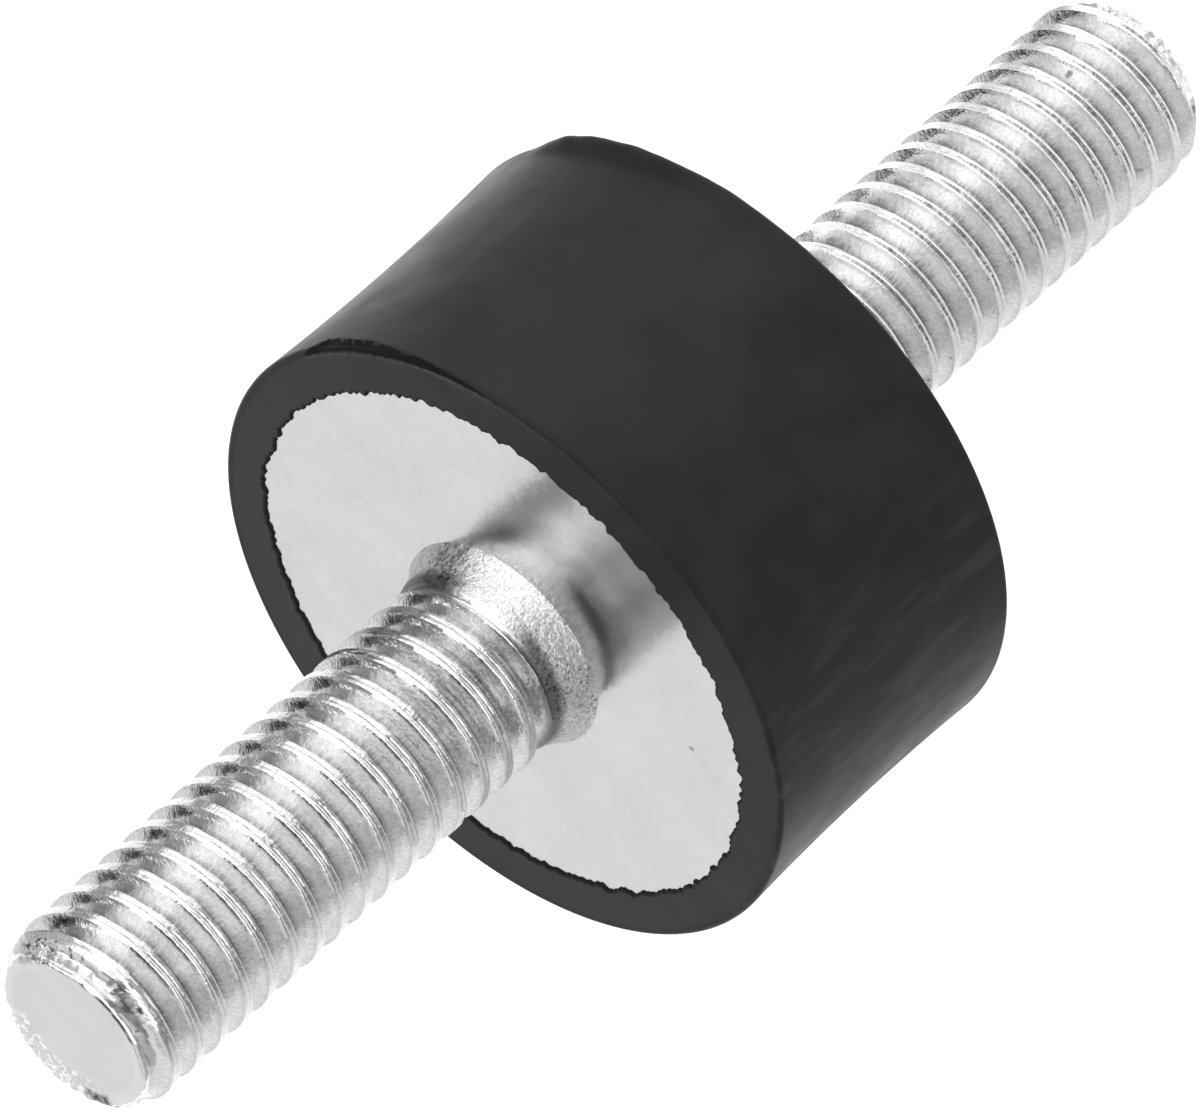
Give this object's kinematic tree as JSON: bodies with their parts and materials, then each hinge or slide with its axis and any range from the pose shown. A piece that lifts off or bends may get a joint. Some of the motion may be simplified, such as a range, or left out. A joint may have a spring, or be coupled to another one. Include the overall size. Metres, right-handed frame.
{
  "type": "bobbin vibration mount",
  "caption": "Cylindrical rubber mount with a steel plate bonded in each end and a male threaded stud standing out of each plate.",
  "frame": {"origin": "centre of the rubber, midway between its two end faces, on the studs' common axis", "axes": "+Z along the axis towards the upper stud, X and Y across it with no preferred direction"},
  "size_m": [0.02, 0.02, 0.046],
  "materials": {
    "rubber": "moulded black natural rubber, matte with a slight sheen",
    "plate_steel": "zinc-plated steel, satin",
    "stud_steel": "zinc-plated steel, bright"
  },
  "bodies": {
    "root": {"rubber_body": "rubber", "upper_plate": "plate_steel", "upper_stud": "stud_steel", "lower_plate": "plate_steel", "lower_stud": "stud_steel"}
  },
  "joints": []
}
